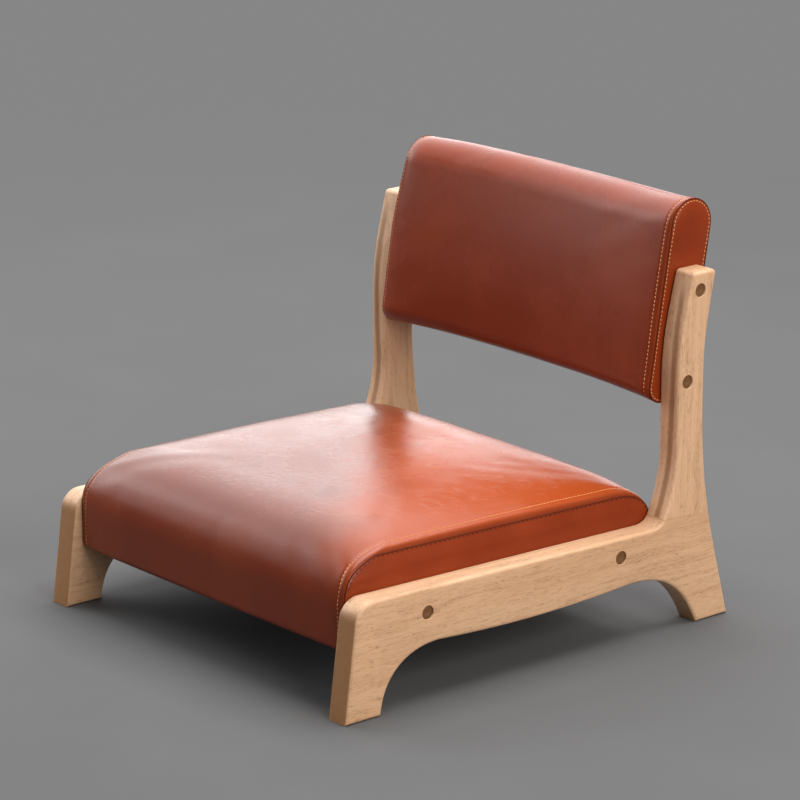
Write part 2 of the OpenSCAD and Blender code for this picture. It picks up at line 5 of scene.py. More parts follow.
import bmesh
import bpy
import numpy as np
from mathutils import Matrix, Vector
from mathutils.bvhtree import BVHTree
from mathutils.kdtree import KDTree

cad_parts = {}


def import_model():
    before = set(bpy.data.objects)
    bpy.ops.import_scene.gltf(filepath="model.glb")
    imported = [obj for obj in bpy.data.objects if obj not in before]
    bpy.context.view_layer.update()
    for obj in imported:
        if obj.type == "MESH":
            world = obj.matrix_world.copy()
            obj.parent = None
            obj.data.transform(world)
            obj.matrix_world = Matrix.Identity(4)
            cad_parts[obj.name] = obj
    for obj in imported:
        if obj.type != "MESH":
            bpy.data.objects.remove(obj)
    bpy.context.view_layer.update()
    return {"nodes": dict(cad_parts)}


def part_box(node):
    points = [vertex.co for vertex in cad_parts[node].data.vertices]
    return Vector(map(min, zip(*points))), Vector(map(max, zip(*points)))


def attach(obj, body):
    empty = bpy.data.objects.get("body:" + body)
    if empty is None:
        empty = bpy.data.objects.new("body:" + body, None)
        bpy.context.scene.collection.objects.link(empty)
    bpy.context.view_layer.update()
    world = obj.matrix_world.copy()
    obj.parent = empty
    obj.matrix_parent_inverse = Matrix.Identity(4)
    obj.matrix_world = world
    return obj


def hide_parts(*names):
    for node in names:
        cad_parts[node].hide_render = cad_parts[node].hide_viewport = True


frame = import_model()

# Sizes in millimetres, with y counted from the front feet's tips

# Side boards, with their feet, arch, posts and the joint between rail and post
CHAIR_W, CHAIR_D, BOARD_T, EDGE_R = 480, 511, 27.5, 3.5
RAIL_FRONT_H, RAIL_REAR_H, NOSE_R = 119, 111.5, 22
FRONT_SOLE, REAR_SOLE, FRONT_RAKE, REAR_RAKE = 45, 44.5, 7.5, 14.7
ARCH_H, BELLY_DIP, FRONT_SWEEP, REAR_SWEEP = 60.5, 5, 74, 93
POST_OVER_BOLT, POST_DEPTH, POST_IN = 19.2, 36, 40.5
CROOK_RISE, CROOK_L, JOINT_FALL = 8.5, 13, 3.5
FLARE_H, FLARE_R, REAR_FLARE_R = 192, 164, 580
BEND_H, BEND_R, POST_LEAN, POST_TAPER, POST_TOP_R = 296, 300, 11, 3, 5
# Seat, with the rolls over its front and rear edges
SEAT_IN, SEAT_REAR_GAP, SEAT_BASE, SEAT_SEAM, SEAT_FALL = 21, 10.5, 61, 153.5, 7
SEAT_CROWN, SEAT_RISE, SEAT_DOME, SEAT_BULGE, SEAT_REAR_IN, SEAT_CORNER_R = 15, 4, 3, 4, 4, 8
FRONT_ROLL_H, FRONT_ROLL_L, FRONT_SWELL, REAR_ROLL_H, REAR_ROLL_L, REAR_SWELL = 38, 42, 45, 27, 46, 38
SEAM_DROP, CORNER_KINK, LIP_L = 2.5, 0.22, 28
# Backrest, and how its right end is drawn in by slack stuffing and pressed in by wear
BACK_LOW, BACK_LEN, BACK_T, BACK_TILT, BACK_PROUD = 236, 211, 55, 9.5, 17
BACK_SAG, BACK_PUFF, LOW_WAIST, TOP_WAIST, BACK_BOW, BACK_CORNER_R = 20, 8, 4, 3, 3, 17
SLACK_IN, SLACK_DOWN, END_IN, END_L = 12, 6, 6, 26
# Sides of both cushions, their seams with a dark cord in each as painted shade, and rows of stitches
SOFT_GAP, SIDE_LEAN, SIDE_SWELL, SEAT_SWELL_H, BACK_SWELL_H, BACK_SWELL_FROM = 0.3, 4.5, 2.5, 14, 20, 0.72
SEAM_R, SEAM_IN, SEAM_DEPTH, SEAM_STITCH_IN = 0.75, 0.35, 0.9, 2.4
SEAT_ROW_IN, BACK_ROW_IN, PANEL_ROW_IN = 8, 7, 3.2
# Bolts
HEAD_R, HEAD_H, HEAD_SINK, HEAD_GAP, KEY_W = 6.7, 4.5, 1.5, 0.3, 4
FRONT_BOLT_IN, REAR_BOLT_IN, SEAT_BOLT_H = 82.5, 65, 92
BACK_BOLT_Q, LOW_BOLT_UP, BOLT_PITCH = 25.4, 27.7, 94

FRONT_TIP_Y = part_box("left_side_rail")[0].y
POST_REAR_Y = CHAIR_D - POST_IN
POST_FRONT_Y = POST_REAR_Y - POST_DEPTH
SEAT_REAR_Y = POST_FRONT_Y - SEAT_REAR_GAP
BACK_Y = POST_FRONT_Y - BACK_PROUD
SIDE_HALF = CHAIR_W / 2 - BOARD_T - SOFT_GAP
ARC_R = (SIDE_HALF ** 2 + BACK_SAG ** 2) / (2 * BACK_SAG)
SIDES = (("left", 1), ("right", -1))


def row_point(x, y, z):
    """A point in metres, from millimetres with y counted from the front feet's tips."""
    return Vector((x / 1000, y / 1000 + FRONT_TIP_Y, z / 1000))


# Plane geometry, in millimetres

def unit(v):
    return v / np.linalg.norm(v)


def curve(a, b, c, d, steps):
    """Points of the curve from a to d that is drawn towards b and c."""
    t = np.linspace(0, 1, steps + 1)[:, None]
    a, b, c, d = (np.array(p, float) for p in (a, b, c, d))
    return a * (1 - t) ** 3 + b * 3 * (1 - t) ** 2 * t + c * 3 * (1 - t) * t ** 2 + d * t ** 3


def fillet(a, b, c, r, steps):
    """Points of the arc that rounds the corner b between a and c."""
    a, b, c = (np.array(p, float) for p in (a, b, c))
    u, v = unit(a - b), unit(c - b)
    half = math.acos(float(u @ v)) / 2
    start, end = b + u * r / math.tan(half), b + v * r / math.tan(half)
    centre = b + unit(u + v) * r / math.sin(half)
    t = np.linspace(0, 1, steps + 1)[:, None]
    around = start * (1 - t) + end * t - centre
    return centre + r * around / np.linalg.norm(around, axis=1)[:, None]


def without_repeats(path, least=0.05):
    """A closed outline without points that lie nearly on the one before."""
    path = np.array(path, float)
    kept = [path[0]]
    for p in path[1:]:
        if np.linalg.norm(p - kept[-1]) > least:
            kept.append(p)
    if np.linalg.norm(kept[0] - kept[-1]) <= least:
        kept.pop()
    return np.array(kept)


def drawn_in(path, d, glued=0):
    """An anticlockwise outline drawn in by d on every edge but the glued one."""
    before, after = np.roll(path, 1, 0), np.roll(path, -1, 0)
    ab, bc = path - before, after - path
    na = np.stack([-ab[:, 1], ab[:, 0]], 1) / np.linalg.norm(ab, axis=1)[:, None]
    nb = np.stack([-bc[:, 1], bc[:, 0]], 1) / np.linalg.norm(bc, axis=1)[:, None]
    da, db = np.full(len(path), d, float), np.full(len(path), d, float)
    db[glued] = 0
    da[(glued + 1) % len(path)] = 0
    turn = na[:, 0] * nb[:, 1] - na[:, 1] * nb[:, 0]
    straight = np.abs(turn) < 0.001
    turn[straight] = 1
    out = np.stack([da * nb[:, 1] - db * na[:, 1], db * na[:, 0] - da * nb[:, 0]], 1) / turn[:, None]
    out[straight] = (na * da[:, None])[straight]
    return path + out


def tan(degrees):
    return math.tan(math.radians(degrees))


# Side frames

def rear_edge_y(z):
    """The rear edge of foot and post: a straight foot, a flare and an upright post."""
    flare_end = POST_IN / tan(REAR_RAKE) + REAR_FLARE_R * tan(REAR_RAKE / 2)
    flare_start = flare_end - REAR_FLARE_R * math.sin(math.radians(REAR_RAKE))
    if z > flare_end:
        return POST_REAR_Y
    if z < flare_start:
        return CHAIR_D - z * tan(REAR_RAKE)
    return POST_REAR_Y + REAR_FLARE_R - math.sqrt(REAR_FLARE_R ** 2 - (flare_end - z) ** 2)


def front_edge_y(z):
    """The post's front edge, which flares out towards the seat."""
    if z > FLARE_H:
        return POST_FRONT_Y
    return POST_FRONT_Y - FLARE_R + math.sqrt(FLARE_R ** 2 - (FLARE_H - z) ** 2)


JOINT_FRONT_H = RAIL_REAR_H + CROOK_RISE
JOINT_REAR_H = JOINT_FRONT_H - JOINT_FALL
JOINT_FRONT = np.array([front_edge_y(JOINT_FRONT_H), JOINT_FRONT_H])
JOINT_REAR = np.array([rear_edge_y(JOINT_REAR_H), JOINT_REAR_H])


def rail_outline():
    """Outline of the rail with both feet, from the joint forwards and round underneath."""
    slant = math.asin((FLARE_H - JOINT_FRONT_H) / FLARE_R)
    crook = np.array([JOINT_FRONT[0] - CROOK_RISE * math.tan(slant), RAIL_REAR_H])
    nose = np.array([RAIL_FRONT_H * tan(FRONT_RAKE), RAIL_FRONT_H])
    crook_end = crook + unit(nose - crook) * CROOK_L
    rise = curve(JOINT_FRONT, JOINT_FRONT * 0.4 + crook * 0.6, crook_end * 0.4 + crook * 0.6, crook_end, 12)
    front_arch = curve([FRONT_SOLE, 0], [FRONT_SOLE + 0.04 * FRONT_SWEEP, 0.6 * ARCH_H],
                       [FRONT_SOLE + 0.4 * FRONT_SWEEP, ARCH_H], [FRONT_SOLE + FRONT_SWEEP, ARCH_H], 28)
    rear_foot = CHAIR_D - REAR_SOLE
    rear_arch = curve([rear_foot - REAR_SWEEP, ARCH_H], [rear_foot - 0.46 * REAR_SWEEP, ARCH_H],
                      [rear_foot - 0.21 * REAR_SWEEP, 0.69 * ARCH_H], [rear_foot, 0], 28)
    start, end = FRONT_SOLE + FRONT_SWEEP, rear_foot - REAR_SWEEP
    belly = [[start + (end - start) * s, ARCH_H - BELLY_DIP * 4 * s * (1 - s)]
             for s in np.linspace(0, 1, 25)[1:-1]]
    rear = [[rear_edge_y(z), z] for z in np.linspace(0, JOINT_REAR_H, 15)[1:-1]]
    return without_repeats([JOINT_REAR, JOINT_FRONT, *rise, *fillet(crook, nose, [0, 0], NOSE_R, 14), [0, 0],
                            *front_arch, *belly, *rear_arch, [CHAIR_D, 0], *rear])


def leaned(q, h):
    """Where a point of the leaning backrest lies: q is counted from its front, h along its lean."""
    t = math.radians(BACK_TILT)
    return BACK_Y + q * math.cos(t) + h * math.sin(t), BACK_LOW + h * math.cos(t) - q * math.sin(t)


BACK_BOLTS = [leaned(BACK_BOLT_Q, LOW_BOLT_UP), leaned(BACK_BOLT_Q, LOW_BOLT_UP + BOLT_PITCH)]
POST_H = BACK_BOLTS[1][1] + POST_OVER_BOLT


def post_outline():
    """Outline of the post, from the joint up its rear edge and down its front edge."""
    top_front = [POST_FRONT_Y + (POST_H - BEND_H) * tan(POST_LEAN + POST_TAPER), POST_H]
    top_rear = [POST_REAR_Y + (POST_H - BEND_H) * tan(POST_LEAN), POST_H]
    rear_up = [[rear_edge_y(z), z] for z in np.linspace(JOINT_REAR_H, FLARE_H + 40, 24)[1:]]
    front_down = [[front_edge_y(z), z] for z in np.linspace(FLARE_H, JOINT_FRONT_H, 24)[:-1]]
    return without_repeats([JOINT_FRONT, JOINT_REAR, *rear_up,
                            *fillet([POST_REAR_Y, 0], [POST_REAR_Y, BEND_H], top_rear, BEND_R, 12),
                            *fillet([POST_REAR_Y, BEND_H], top_rear, top_front, POST_TOP_R, 8),
                            *fillet(top_rear, top_front, [POST_FRONT_Y, BEND_H], POST_TOP_R, 8),
                            *fillet(top_front, [POST_FRONT_Y, BEND_H], [POST_FRONT_Y, 0], BEND_R, 12),
                            *front_down])


SEAT_BOLTS = [(SEAT_IN + FRONT_BOLT_IN, SEAT_BOLT_H), (SEAT_REAR_Y - REAR_BOLT_IN, SEAT_BOLT_H)]


# Meshes

def new_object(name, data):
    obj = bpy.data.objects.new(name, data)
    bpy.context.scene.collection.objects.link(obj)
    return obj


def mesh_from(name, verts, faces):
    mesh = bpy.data.meshes.new(name)
    mesh.from_pydata([tuple(v) for v in verts], [], faces)
    mesh.validate()
    return new_object(name, mesh)


def ring_faces(rings, n, first=0, closed=True, ends=True):
    """Faces along rings of n points, counted on from a first point, with or without the two end faces."""
    faces = [(first + k * n + i, first + k * n + (i + 1) % n,
              first + (k + 1) * n + (i + 1) % n, first + (k + 1) * n + i)
             for k in range(rings - 1) for i in range(n if closed else n - 1)]
    if ends:
        last = first + (rings - 1) * n
        faces += [tuple(range(first + n - 1, first - 1, -1)), tuple(range(last, last + n))]
    return faces


def turned_out(obj, way=None, split=False, ends=()):
    """Turns a mesh's faces outwards; an open sheet's go by way, which is above zero for a face turned out.

    Before that, ends are closed by one face each, and if asked, faces with many corners are split.
    """
    bm = bmesh.new()
    bm.from_mesh(obj.data)
    bm.verts.ensure_lookup_table()
    for end in ends:
        bm.faces.new([bm.verts[i] for i in end])
    if split:
        bmesh.ops.triangulate(bm, faces=[f for f in bm.faces if len(f.verts) > 4])
    bmesh.ops.recalc_face_normals(bm, faces=bm.faces)
    if way and sum(way(f) * f.calc_area() for f in bm.faces) < 0:
        bmesh.ops.reverse_faces(bm, faces=bm.faces)
    bm.to_mesh(obj.data)
    bm.free()
    return obj


def apply_modifiers(obj):
    graph = bpy.context.evaluated_depsgraph_get()
    done = bpy.data.meshes.new_from_object(obj.evaluated_get(graph))
    obj.modifiers.clear()
    obj.data = done
    return obj


def smooth(obj, angle):
    """Shades a mesh smooth, with sharp edges where its faces meet at more than the angle."""
    obj.data.polygons.foreach_set("use_smooth", [True] * len(obj.data.polygons))
    obj.data.set_sharp_from_angle(angle=math.radians(angle))
    return obj


def turned(name, profile, y, z, side, steps=48):
    """A solid turned about the line along X through y and z, from pairs of x and radius in millimetres."""
    verts, faces, rings = [], [], []
    for x, r in profile:
        if r == 0:
            rings.append([len(verts)])
            verts.append(row_point(side * x, y, z))
        else:
            rings.append(list(range(len(verts), len(verts) + steps)))
            for i in range(steps):
                a = 2 * math.pi * i / steps
                verts.append(row_point(side * x, y + r * math.cos(a), z + r * math.sin(a)))
    for a, b in zip(rings, rings[1:]):
        for i in range(steps):
            j = (i + 1) % steps
            quad = [a[i % len(a)], a[j % len(a)], b[j % len(b)], b[i % len(b)]]
            face = [v for k, v in enumerate(quad) if v not in quad[:k]]
            if len(face) > 2:
                faces.append(tuple(face))
    return turned_out(mesh_from(name, verts, faces))


# Boards and bolts

ROUND_STEPS, RIM_SOFT, CUT_PAST = 6, 0.5, 4


def recess_profile():
    """Section of the recess for a bolt's head, with a softened rim."""
    face, wall = CHAIR_W / 2, HEAD_R + HEAD_GAP
    bottom, rim = face - HEAD_SINK - HEAD_H, wall + 2 * RIM_SOFT
    return [(bottom, 0), (bottom, wall), (face - RIM_SOFT, wall), (face + RIM_SOFT, rim),
            (face + CUT_PAST, rim), (face + CUT_PAST, 0)]


def head_profile():
    """Section of a bolt's head, with a rounded edge and a shallow key mark."""
    face, key_r = CHAIR_W / 2 - HEAD_SINK, KEY_W / 2
    return [(face - HEAD_H, HEAD_R), (face - 0.7, HEAD_R), (face - 0.2, HEAD_R - 0.25), (face, HEAD_R - 0.9),
            (face, key_r + 0.3), (face - 0.15, key_r), (face - 0.25, key_r - 0.2), (face - 0.25, 0)]


def board(name, outline, bolts, side):
    """A side board with rounded edges and a recess for each bolt's head."""
    half = BOARD_T / 2
    rings = []
    for face in (-1, 1):
        for k in range(ROUND_STEPS + 1):
            a = math.pi / 2 * (k if face < 0 else ROUND_STEPS - k) / ROUND_STEPS
            rings.append((CHAIR_W / 2 - half + face * (half - EDGE_R * (1 - math.cos(a))),
                          drawn_in(outline, EDGE_R * (1 - math.sin(a)))))
    verts = [row_point(side * x, y, z) for x, ring in rings for y, z in ring]
    faces = ring_faces(len(rings), len(outline))
    if side < 0:
        faces = [face[::-1] for face in faces]
    obj = turned_out(mesh_from(name, verts, faces))
    for y, z in bolts:
        cutter = turned(name + "_cutter", recess_profile(), y, z, side)
        cut = obj.modifiers.new("recess", "BOOLEAN")
        cut.operation, cut.solver, cut.object = "DIFFERENCE", "EXACT", cutter
        apply_modifiers(obj)
        bpy.data.objects.remove(cutter)
    return smooth(obj, 28)


# Cushions: skins given as rows of points, closed into sheets of leather

def puff(u):
    """How far a stuffed skin has risen at a share u of the cushion's half width: 0 at its seam, 1 midway."""
    return math.sqrt(max(0.0, 1 - abs(u) ** 4))


def seat_section(u, skin):
    """Section of the seat at u, in y and z, from its rear lower corner over the top to the front one."""
    swell = puff(u)
    rear = SEAT_REAR_Y - SEAT_REAR_IN * swell - skin
    front = SEAT_IN - SEAT_BULGE * swell + skin
    base = SEAT_BASE + skin
    top_front = SEAT_SEAM - SEAM_DROP + (SEAT_CROWN + SEAM_DROP) * swell - skin
    top_rear = top_front - SEAT_FALL + SEAT_RISE * swell
    front_l, front_h = FRONT_ROLL_L + FRONT_SWELL * swell, FRONT_ROLL_H + FRONT_SWELL * swell / 2
    rear_l, rear_h = REAR_ROLL_L + REAR_SWELL * swell, REAR_ROLL_H + REAR_SWELL * swell / 3
    kink = CORNER_KINK * (1 - swell) * front_h
    start, end = np.array([rear - rear_l, top_rear]), np.array([front + front_l, top_front])
    top = [start + (end - start) * s + np.array([0, SEAT_DOME * swell * math.sin(math.pi * s)])
           for s in np.linspace(0, 1, 61)[1:-1]]
    return np.array([
        *fillet([front, base], [rear, base], [rear, top_rear], SEAT_CORNER_R - min(skin, 4), 6),
        *[[rear, z] for z in np.linspace(base + SEAT_CORNER_R, top_rear - rear_h, 8)[1:-1]],
        *curve([rear, top_rear - rear_h], [rear, top_rear - 0.3 * rear_h],
               [rear - 0.4 * rear_l, top_rear], start, 22),
        *top,
        *curve(end, [front + 0.34 * front_l, top_front - kink],
               [front + 0.05 * front_l, top_front - 0.3 * front_h - kink / 2],
               [front, top_front - front_h], 22),
        *[[front, z] for z in np.linspace(top_front - front_h, base + SEAT_CORNER_R, 10)[1:-1]],
        *fillet([front, top_front], [front, base], [rear, base], SEAT_CORNER_R - min(skin, 4), 6)])


def back_section(u, skin):
    """Closed section of the backrest at u, in q and h, from below up its rear face and down its front."""
    swell = puff(u)
    front, rear = skin - BACK_PUFF * swell, BACK_T + BACK_PUFF / 2 * swell - skin
    low, high = skin + LOW_WAIST * swell, BACK_LEN - skin - TOP_WAIST * swell
    mid, r = (front + rear) / 2, (rear - front) / 2
    corner, bow = BACK_CORNER_R - skin, BACK_BOW * swell
    shoulder = high - r
    top = [[mid + r * math.cos(a), shoulder + r * math.sin(a)] for a in np.linspace(0, math.pi, 37)]
    rear_face = [[rear, h] for h in np.linspace(low + corner, shoulder, 26)[1:-1]]
    front_face = [[front - bow * math.sin(math.pi * s), shoulder + (low + corner - shoulder) * s]
                  for s in np.linspace(0, 1, 34)[1:-1]]
    under = [[q, low] for q in np.linspace(front + corner, rear - corner, 8)[1:-1]]
    return np.array([*fillet([mid, low], [rear, low], [rear, high], corner, 10), *rear_face, *top,
                     *front_face, *fillet([front, high], [front, low], [mid, low], corner, 10), *under])


def hollow(x):
    """How far the backrest is set back at x by its curve in plan."""
    return BACK_SAG - ARC_R + math.sqrt(max(ARC_R ** 2 - x ** 2, 0))


def ease(t):
    """A soft step from 0 to 1."""
    t = min(1.0, max(0.0, t))
    return t * t * (3 - 2 * t)


def rail_top(y):
    """Height of the rail's top edge at y."""
    return RAIL_FRONT_H + (RAIL_REAR_H - RAIL_FRONT_H) * y / POST_FRONT_Y


def seat_bulge(point):
    """How far the seat's side swells out above the rail."""
    return SIDE_SWELL * ease((point[1] - rail_top(point[0])) / SEAT_SWELL_H)


def back_bulge(point):
    """How far the backrest's side swells out above the post."""
    return SIDE_SWELL * ease((point[1] - BACK_SWELL_FROM * BACK_LEN) / BACK_SWELL_H)


def seat_place(across, point):
    """Where a point of the seat's section lies at a place across; the seat's side leans in above the rail."""
    rail = rail_top(point[0])
    lean = SIDE_LEAN / SIDE_HALF * ease((point[1] - rail) / (SEAT_SEAM - rail))
    return row_point(across * (1 - lean), *point)


def back_place(across, point):
    """Where a point of the backrest's section lies at a place across; its right end is slack and pressed in
    by wear.
    """
    q, h = point
    slack = max(0.0, -across / SIDE_HALF) ** 4 * max(0.0, 2 * h / BACK_LEN - 1) ** 1.2
    worn_end = max(0.0, 1 - (SIDE_HALF + across) / END_L) ** 2 * (1 - ease(q / BACK_T))
    q = q + END_IN * worn_end + hollow(across)
    return row_point(across + SLACK_IN * slack, *leaned(q, h - SLACK_DOWN * slack))


# Distance from the seam and depth below the skin where a sheet of leather rolls into its seam
ROLL_IN = [(0.1, 3.0), (0.3, 2.0), (0.7, 1.1), (1.4, 0.5), (2.4, 0.15), (3.6, 0)]
PANEL_ROLL_IN = [(0.15, 2.4), (0.2, 1.3), (0.6, 0.6), (1.3, 0.2), (2.3, 0), (3.2, 0), (4.4, 0)]
# Where the points lie close to the seam, and then evenly over the rest
NEAR_SEAM, COVER_EVEN_FROM, COVER_EVEN = [4.6, 5.8, 7, 8.2, 9.6, 11.5, 14, 17, 21, 26, 32], 39, 26
PANEL_EVEN = range(6, 17, 2)
# Depth and half width of the dip under a row of stitches
ROW_DIP, ROW_DIP_W, PANEL_DIP, PANEL_DIP_W = 0.5, 1.1, 0.35, 1.0


def dip(inset, row_in, depth, width):
    """How deep a row of stitches presses the leather at an inset from the seam."""
    return depth * math.exp(-((inset - row_in) / width) ** 2)


def cover_stations(row_in):
    """Places across a cover as pairs of x and depth, with a shallow dip under its row of stitches."""
    half = [(SIDE_HALF - s, depth) for s, depth in ROLL_IN]
    half += [(SIDE_HALF - s, dip(s, row_in, ROW_DIP, ROW_DIP_W)) for s in sorted({*NEAR_SEAM, row_in})]
    half += [(x, 0.0) for x in np.linspace(SIDE_HALF - COVER_EVEN_FROM, 0, COVER_EVEN)[:-1]]
    return [(-x, depth) for x, depth in half] + [(0.0, 0.0)] + half[::-1]


def sheet_of(name, rows, closed):
    """A skin through rows of equally many points, closed round the section or open along it."""
    faces = ring_faces(len(rows), len(rows[0]), closed=closed, ends=False)
    return mesh_from(name, [p for row in rows for p in row], faces)


def outside_of(inside):
    """Tells turned_out how far a face looks away from a point inside the cushion."""
    return lambda face: (face.calc_center_median() - inside).dot(face.normal)


def side_panel(name, section, place, side, bulge, row_in=None):
    """A side panel whose edge rolls into the seam, filled between its outline's inner rings."""
    steps = [*PANEL_ROLL_IN, *[(inset, 0) for inset in PANEL_EVEN]]
    verts = []
    for inset, depth in steps:
        pressed = dip(inset, row_in, PANEL_DIP, PANEL_DIP_W) if row_in else 0
        swell = math.sin(math.pi / 2 * inset / steps[-1][0])
        verts += [place(side * (SIDE_HALF - depth - pressed + swell * bulge(p)), p)
                  for p in section(1, inset)]
    n = len(verts) // len(steps)
    faces = ring_faces(len(steps), n, ends=False)
    faces.append(tuple(range(len(verts) - n, len(verts))))
    return turned_out(mesh_from(name, verts, faces), lambda face: face.normal.x * side, split=True)


def cord(name, path, radius, around=8):
    """A thin round cord through a path of places in metres."""
    verts = []
    for k, spot in enumerate(path):
        ahead = (path[min(k + 1, len(path) - 1)] - path[max(k - 1, 0)]).normalized()
        across = (Vector((1, 0, 0)) - ahead * ahead.x).normalized()
        up = ahead.cross(across)
        for m in range(around):
            a = 2 * math.pi * m / around
            verts.append(spot + (across * math.cos(a) + up * math.sin(a)) * radius / 1000)
    return smooth(turned_out(mesh_from(name, verts, ring_faces(len(path), around))), 60)


# Depth to which a stitch's ends sink in, and the length, gap, width and lift of a row's stitches
THREAD_SINK = 0.15
ORANGE_STITCH, DARK_STITCH = (3.2, 1.0, 1.0, 0.45), (3.4, 2.6, 0.8, 0.35)


def stitches(name, path, over, long, gap, width, lift, around=6, along=6):
    """Thread stitches along a path, each a small tube laid on the nearest sheet of leather."""
    tree = BVHTree.FromObject(over, bpy.context.evaluated_depsgraph_get())
    lengths = [0.0]
    for a, b in zip(path, path[1:]):
        lengths.append(lengths[-1] + (b - a).length)
    total = lengths[-1]
    count = max(1, round(total * 1000 / (long + gap)))
    pitch = total / count
    size = pitch * long / (long + gap)
    close_by = 0.0004

    def at(s):
        """The place at a length s along the path."""
        s = min(max(s, 0), total)
        k = min(max(np.searchsorted(lengths, s) - 1, 0), len(path) - 2)
        t = (s - lengths[k]) / max(lengths[k + 1] - lengths[k], 1e-9)
        return path[k].lerp(path[k + 1], t)

    verts, faces = [], []
    for i in range(count):
        faces += ring_faces(along + 1, around, first=len(verts))
        for k in range(along + 1):
            t = k / along
            s = i * pitch + size * t
            spot, normal, _, _ = tree.find_nearest(at(s))
            ahead = (at(s + close_by) - at(s - close_by)).normalized()
            across = ahead.cross(normal).normalized()
            bump = math.sin(math.pi * t) ** 0.5 if 0 < t < 1 else 0
            r = width / 2000 * (0.25 + 0.75 * bump)
            centre = spot + normal * (lift * bump - THREAD_SINK) / 1000
            for m in range(around):
                a = 2 * math.pi * m / around
                verts.append(centre + across * r * math.cos(a) + normal * r * 0.8 * math.sin(a))
    return smooth(turned_out(mesh_from(name, verts, faces)), 60)


# Finishes

def node_group(name, inputs, outputs):
    """An empty shader group with its sockets; inputs are name, kind and default."""
    group = bpy.data.node_groups.new(name, "ShaderNodeTree")
    for socket, kind, value in inputs:
        made = group.interface.new_socket(socket, in_out="INPUT", socket_type=kind)
        if value is not None:
            made.default_value = value
    for socket, kind in outputs:
        group.interface.new_socket(socket, in_out="OUTPUT", socket_type=kind)
    return group


class Nodes:
    """Short calls for adding and joining the nodes of one tree."""

    def __init__(self, tree):
        self.tree = tree

    def add(self, kind, settings=None, **inputs):
        node = self.tree.nodes.new(kind)
        for key, value in (settings or {}).items():
            setattr(node, key, value)
        for key, value in inputs.items():
            self.put(node.inputs[key.replace("_", " ")], value)
        return node

    def put(self, socket, value):
        if isinstance(value, bpy.types.NodeSocket):
            self.tree.links.new(value, socket)
        else:
            socket.default_value = value

    def maths(self, operation, a, b=0.0):
        node = self.add("ShaderNodeMath", {"operation": operation})
        self.put(node.inputs[0], a)
        self.put(node.inputs[1], b)
        return node.outputs[0]

    def parts(self, vector):
        """The outputs X, Y and Z of a vector."""
        node = self.add("ShaderNodeSeparateXYZ")
        self.put(node.inputs[0], vector)
        return node.outputs

    def noise(self, vector, scale, detail=3.0, roughness=0.5, distortion=0.0):
        node = self.add("ShaderNodeTexNoise", Vector=vector, Scale=scale, Detail=detail, Roughness=roughness,
                        Distortion=distortion)
        return node.outputs["Fac"]

    def stretch(self, vector, scale):
        node = self.add("ShaderNodeVectorMath", {"operation": "MULTIPLY"})
        self.put(node.inputs[0], vector)
        self.put(node.inputs[1], scale)
        return node.outputs[0]

    def between(self, value, low, high, to_low=0.0, to_high=1.0):
        """A soft step from to_low to to_high while a value goes from low to high."""
        node = self.add("ShaderNodeMapRange", {"interpolation_type": "SMOOTHSTEP"}, Value=value, From_Min=low,
                        From_Max=high, To_Min=to_low, To_Max=to_high)
        return node.outputs[0]

    def mix(self, share, a, b):
        node = self.add("ShaderNodeMix", {"data_type": "RGBA"})
        self.put(node.inputs["Factor"], share)
        for socket, value in ((node.inputs[6], a), (node.inputs[7], b)):
            self.put(socket, (*value, 1) if isinstance(value, tuple) and len(value) == 3 else value)
        return node.outputs[2]

    def relief(self, shader, height, strength, distance):
        """Lets a shader's surface rise and fall with a height."""
        bump = self.add("ShaderNodeBump", Strength=strength, Distance=distance, Height=height)
        self.put(shader.inputs["Normal"], bump.outputs[0])


def material(name):
    """A material with an empty tree but for its shader and output; returns it with its nodes and shader."""
    made = bpy.data.materials.new(name)
    made.use_nodes = True
    made.node_tree.nodes.clear()
    nodes = Nodes(made.node_tree)
    shader = nodes.add("ShaderNodeBsdfPrincipled")
    out = nodes.add("ShaderNodeOutputMaterial")
    nodes.put(out.inputs["Surface"], shader.outputs[0])
    return made, nodes, shader


def placed(nodes, group, **inputs):
    """A group's node in a material, with the material's own values for its inputs."""
    node = nodes.add("ShaderNodeGroup")
    node.node_tree = group
    for key, value in inputs.items():
        nodes.put(node.inputs[key.replace("_", " ")], value)
    return node


OAK_PALE, OAK, OAK_DARK = (0.69, 0.43, 0.26), (0.62, 0.365, 0.205), (0.40, 0.205, 0.098)
OAK_END, OAK_HEART = (0.37, 0.165, 0.052), (0.30, 0.145, 0.06)
HEART_IN, HEART_WANDER = 9, 16


def grain_group():
    """Oak figure along Z: broad tone, bands of growth, fibres and short dark pores."""
    group = node_group("oak_figure", [("Along Grain", "NodeSocketVector", None)],
                       [(name, "NodeSocketFloat") for name in ("Tone", "Bands", "Fibres", "Pores")])
    n = Nodes(group)
    straight = n.add("NodeGroupInput").outputs["Along Grain"]
    out = n.add("NodeGroupOutput")
    drift = n.noise(n.stretch(straight, (9, 9, 7)), 1.0, 2.0, 0.5)
    bend = n.add("ShaderNodeCombineXYZ", X=n.maths("MULTIPLY", drift, 0.03),
                 Y=n.maths("MULTIPLY", drift, 0.02))
    bent = n.add("ShaderNodeVectorMath", {"operation": "ADD"})
    n.put(bent.inputs[0], straight)
    n.put(bent.inputs[1], bend.outputs[0])
    place = bent.outputs[0]
    bands = n.noise(n.stretch(place, (150, 150, 4.5)), 1.0, 3.0, 0.55)
    n.put(out.inputs["Tone"], n.noise(n.stretch(place, (30, 30, 2.2)), 1.0, 3.0, 0.5))
    n.put(out.inputs["Bands"], bands)
    n.put(out.inputs["Fibres"], n.noise(n.stretch(place, (650, 650, 50)), 1.0, 3.0, 0.6))
    pores = n.between(n.noise(n.stretch(place, (1300, 1300, 120)), 1.0, 1.0, 0.5), 0.58, 0.70)
    clusters = n.between(bands, 0.40, 0.62, 0.3, 1.0)
    n.put(out.inputs["Pores"], n.maths("MULTIPLY", pores, clusters))
    return group


